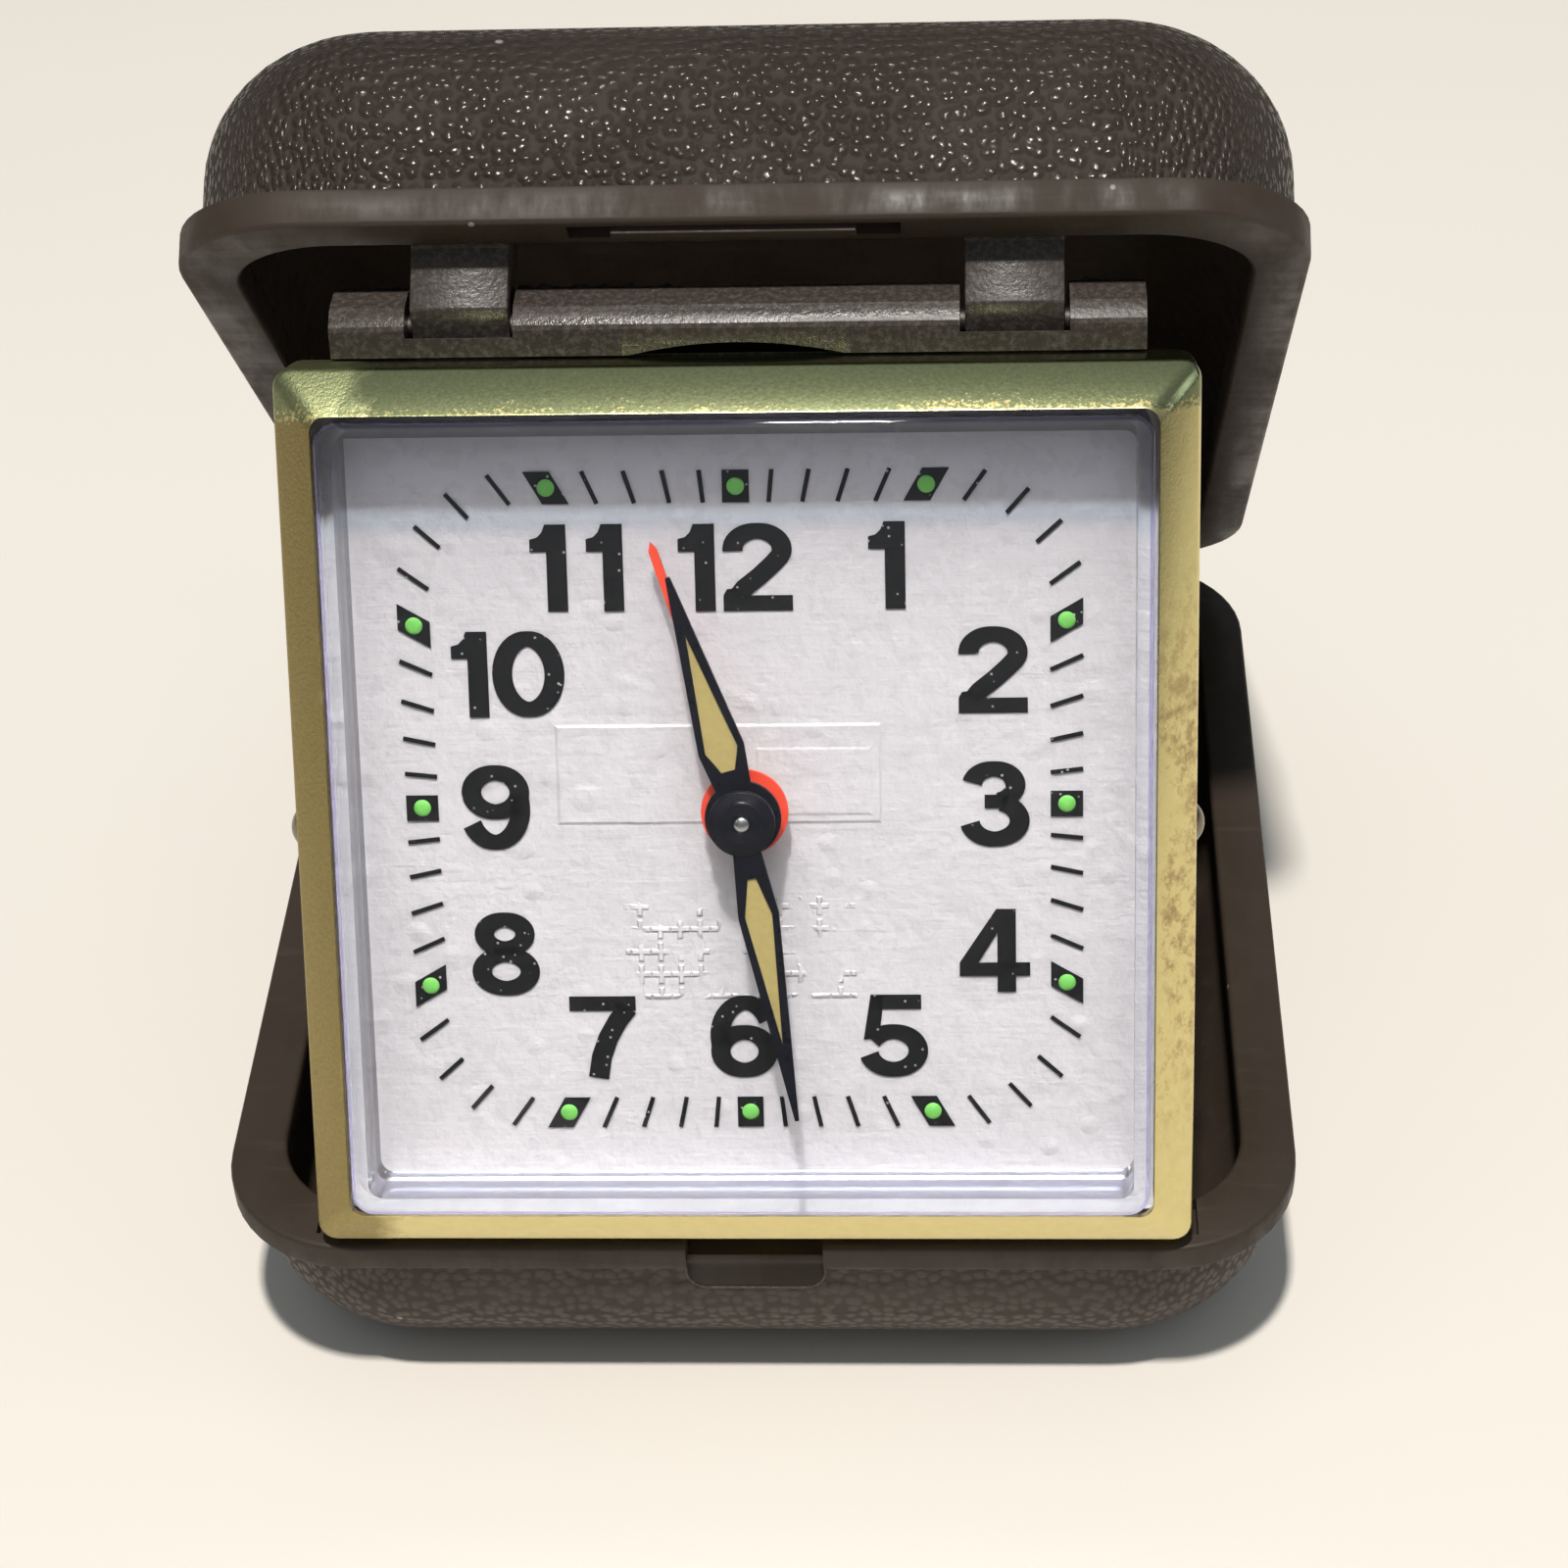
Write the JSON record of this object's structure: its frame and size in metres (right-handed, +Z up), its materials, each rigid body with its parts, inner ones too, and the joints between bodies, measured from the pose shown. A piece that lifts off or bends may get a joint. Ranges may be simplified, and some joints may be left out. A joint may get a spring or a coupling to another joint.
{
  "type": "folding travel alarm clock",
  "caption": "Folding wind-up travel alarm clock: grained clamshell case opened as a stand, square brass-framed clock head with box crystal, white dial and luminous hands.",
  "frame": {"origin": "middle of the flat underside of the base shell", "axes": "+X to the right as the dial is read, +Y to the back where the lid is hinged, +Z up"},
  "size_m": [0.07, 0.0844, 0.078],
  "materials": {
    "case_plastic": "leather grained shell with a smooth rim band",
    "frame_plastic": "fine satin",
    "bezel_brass": "lacquered, worn satin and polish",
    "stud_metal": "polished dome",
    "crystal_clear": "clear moulded box",
    "dial_card": "white crinkled face",
    "dial_metal": "plain",
    "hand_black": "gloss black",
    "glow": "pale green luminous paint",
    "alarm_red": "gloss red",
    "movement_brass": "plain turned and cut",
    "steel": "plain turned",
    "can_steel": "drawn and lacquered",
    "ring_plastic": "plain moulded",
    "key_brass": "stamped",
    "knob_metal": "ridged"
  },
  "bodies": {
    "base": {"base_shell": "case_plastic", "rear_hinge_pin_left": "steel", "rear_hinge_pin_right": "steel"},
    "lid": {"lid_shell": "case_plastic", "lid_catch": "frame_plastic"},
    "head": {"hinge_frame": "frame_plastic", "bar_pin": "steel", "bezel": "bezel_brass", "bezel_stud_left": "stud_metal", "bezel_stud_right": "stud_metal", "crystal": "crystal_clear", "dial_card": "dial_card", "dial_plate": "dial_metal", "front_plate": "movement_brass", "back_plate": "movement_brass", "movement_ring": "ring_plastic", "movement_can": "can_steel", "time_click": "steel", "alarm_click": "steel", "pillar_1": "movement_brass", "pillar_2": "movement_brass", "pillar_3": "movement_brass", "pillar_4": "movement_brass", "pillar_nut_1": "steel", "pillar_nut_2": "steel", "pillar_nut_3": "steel", "pillar_nut_4": "steel", "can_screw_1": "steel", "can_screw_2": "steel", "can_screw_3": "steel"},
    "minute_work": {"minute_hand": "hand_black", "minute_hand_glow": "glow", "cannon_pinion": "steel"},
    "hour_work": {"hour_hand": "hand_black", "hour_hand_glow": "glow", "hour_wheel": "movement_brass"},
    "motion_work": {"minute_wheel": "movement_brass", "time_set_knob": "knob_metal"},
    "alarm_pointer": {"alarm_hand": "alarm_red", "alarm_wheel": "movement_brass"},
    "alarm_setting": {"alarm_set_arbor": "steel", "alarm_set_knob": "knob_metal"},
    "centre_train": {"centre_wheel": "movement_brass"},
    "third_train": {"third_wheel": "movement_brass"},
    "fourth_train": {"fourth_wheel": "movement_brass"},
    "escape_train": {"escape_wheel": "movement_brass"},
    "time_drum": {"time_barrel": "movement_brass"},
    "time_winding": {"time_barrel_arbor": "steel", "time_key": "key_brass"},
    "alarm_drum": {"alarm_barrel": "movement_brass"},
    "alarm_winding": {"alarm_barrel_arbor": "steel", "alarm_key": "key_brass"},
    "alarm_train": {"alarm_escape_wheel": "movement_brass"},
    "hammer": {"alarm_hammer": "steel"},
    "fork": {"pallet_fork": "steel"},
    "balance": {"balance_wheel": "movement_brass", "hairspring": "steel"},
    "shutoff": {"alarm_shutoff": "steel"},
    "rate_lever": {"regulator": "steel"}
  },
  "joints": [
    {"name": "lid_hinge", "type": "hinge", "parent": "base", "child": "lid", "pos_m": [0, 0.037, 0.014], "axis": [1, 0, 0], "range_deg": [-58, 0]},
    {"name": "head_fold", "type": "hinge", "parent": "lid", "child": "head", "pos_m": [0, -0.00829, 0.06506], "axis": [1, 0, 0], "range_deg": [0, 63]},
    {"name": "minute_turn", "type": "hinge", "parent": "head", "child": "minute_work", "pos_m": [0, -0.02084, 0.03814], "axis": [0, 0.9063, -0.4226], "continuous": true},
    {"name": "hour_turn", "type": "hinge", "parent": "head", "child": "hour_work", "pos_m": [0, -0.02084, 0.03814], "axis": [0, 0.9063, -0.4226], "continuous": true},
    {"name": "motion_turn", "type": "hinge", "parent": "head", "child": "motion_work", "pos_m": [0.00705, -0.01876, 0.04261], "axis": [0, 0.9063, -0.4226], "continuous": true},
    {"name": "alarm_set_turn", "type": "hinge", "parent": "head", "child": "alarm_setting", "pos_m": [0, -0.02452, 0.03025], "axis": [0, 0.9063, -0.4226], "continuous": true},
    {"name": "alarm_pointer_turn", "type": "hinge", "parent": "head", "child": "alarm_pointer", "pos_m": [0, -0.02084, 0.03814], "axis": [0, 0.9063, -0.4226], "continuous": true},
    {"name": "fourth_turn", "type": "hinge", "parent": "head", "child": "fourth_train", "pos_m": [-0.00775, -0.01729, 0.04575], "axis": [0, 0.9063, -0.4226], "continuous": true},
    {"name": "third_turn", "type": "hinge", "parent": "head", "child": "third_train", "pos_m": [0, -0.01729, 0.04575], "axis": [0, 0.9063, -0.4226], "continuous": true},
    {"name": "centre_turn", "type": "hinge", "parent": "head", "child": "centre_train", "pos_m": [0, -0.02084, 0.03814], "axis": [0, 0.9063, -0.4226], "continuous": true},
    {"name": "escape_turn", "type": "hinge", "parent": "head", "child": "escape_train", "pos_m": [-0.00425, -0.01473, 0.05124], "axis": [0, 0.9063, -0.4226], "continuous": true},
    {"name": "time_drum_turn", "type": "hinge", "parent": "head", "child": "time_drum", "pos_m": [-0.00954, -0.02231, 0.03499], "axis": [0, 0.9063, -0.4226], "continuous": true},
    {"name": "time_winding_turn", "type": "hinge", "parent": "head", "child": "time_winding", "pos_m": [-0.00954, -0.02231, 0.03499], "axis": [0, 0.9063, -0.4226], "continuous": true},
    {"name": "alarm_drum_turn", "type": "hinge", "parent": "head", "child": "alarm_drum", "pos_m": [0.01071, -0.02249, 0.0346], "axis": [0, 0.9063, -0.4226], "continuous": true},
    {"name": "alarm_train_turn", "type": "hinge", "parent": "head", "child": "alarm_train", "pos_m": [0.00441, -0.02566, 0.0278], "axis": [0, 0.9063, -0.4226], "continuous": true},
    {"name": "alarm_winding_turn", "type": "hinge", "parent": "head", "child": "alarm_winding", "pos_m": [0.01071, -0.02249, 0.0346], "axis": [0, 0.9063, -0.4226], "continuous": true},
    {"name": "hammer_swing", "type": "hinge", "parent": "head", "child": "hammer", "pos_m": [0.0095, -0.02697, 0.025], "axis": [0, 0.9063, -0.4226], "range_deg": [-5, 5]},
    {"name": "fork_swing", "type": "hinge", "parent": "head", "child": "fork", "pos_m": [0.0016, -0.014, 0.05282], "axis": [0, 0.9063, -0.4226], "range_deg": [-5, 5]},
    {"name": "balance_swing", "type": "hinge", "parent": "head", "child": "balance", "pos_m": [0.0075, -0.01535, 0.04992], "axis": [0, 0.9063, -0.4226], "range_deg": [-135, 135]},
    {"name": "rate_turn", "type": "hinge", "parent": "head", "child": "rate_lever", "pos_m": [0.0075, -0.01535, 0.04992], "axis": [0, 0.9063, -0.4226], "range_deg": [-20, 20]},
    {"name": "shutoff_slide", "type": "slide", "parent": "head", "child": "shutoff", "axis": [1, 0, 0], "range_m": [0, 0.003]}
  ],
  "couplings": [
    {"joint": "hour_turn", "follows": "minute_turn", "ratio": 0.083333},
    {"joint": "motion_turn", "follows": "minute_turn", "ratio": -0.33333},
    {"joint": "alarm_pointer_turn", "follows": "alarm_set_turn", "ratio": -0.16},
    {"joint": "third_turn", "follows": "fourth_turn", "ratio": -0.14815},
    {"joint": "centre_turn", "follows": "fourth_turn", "ratio": 0.024691},
    {"joint": "escape_turn", "follows": "fourth_turn", "ratio": -6},
    {"joint": "time_drum_turn", "follows": "fourth_turn", "ratio": -0.005144},
    {"joint": "alarm_train_turn", "follows": "alarm_drum_turn", "ratio": -6}
  ]
}
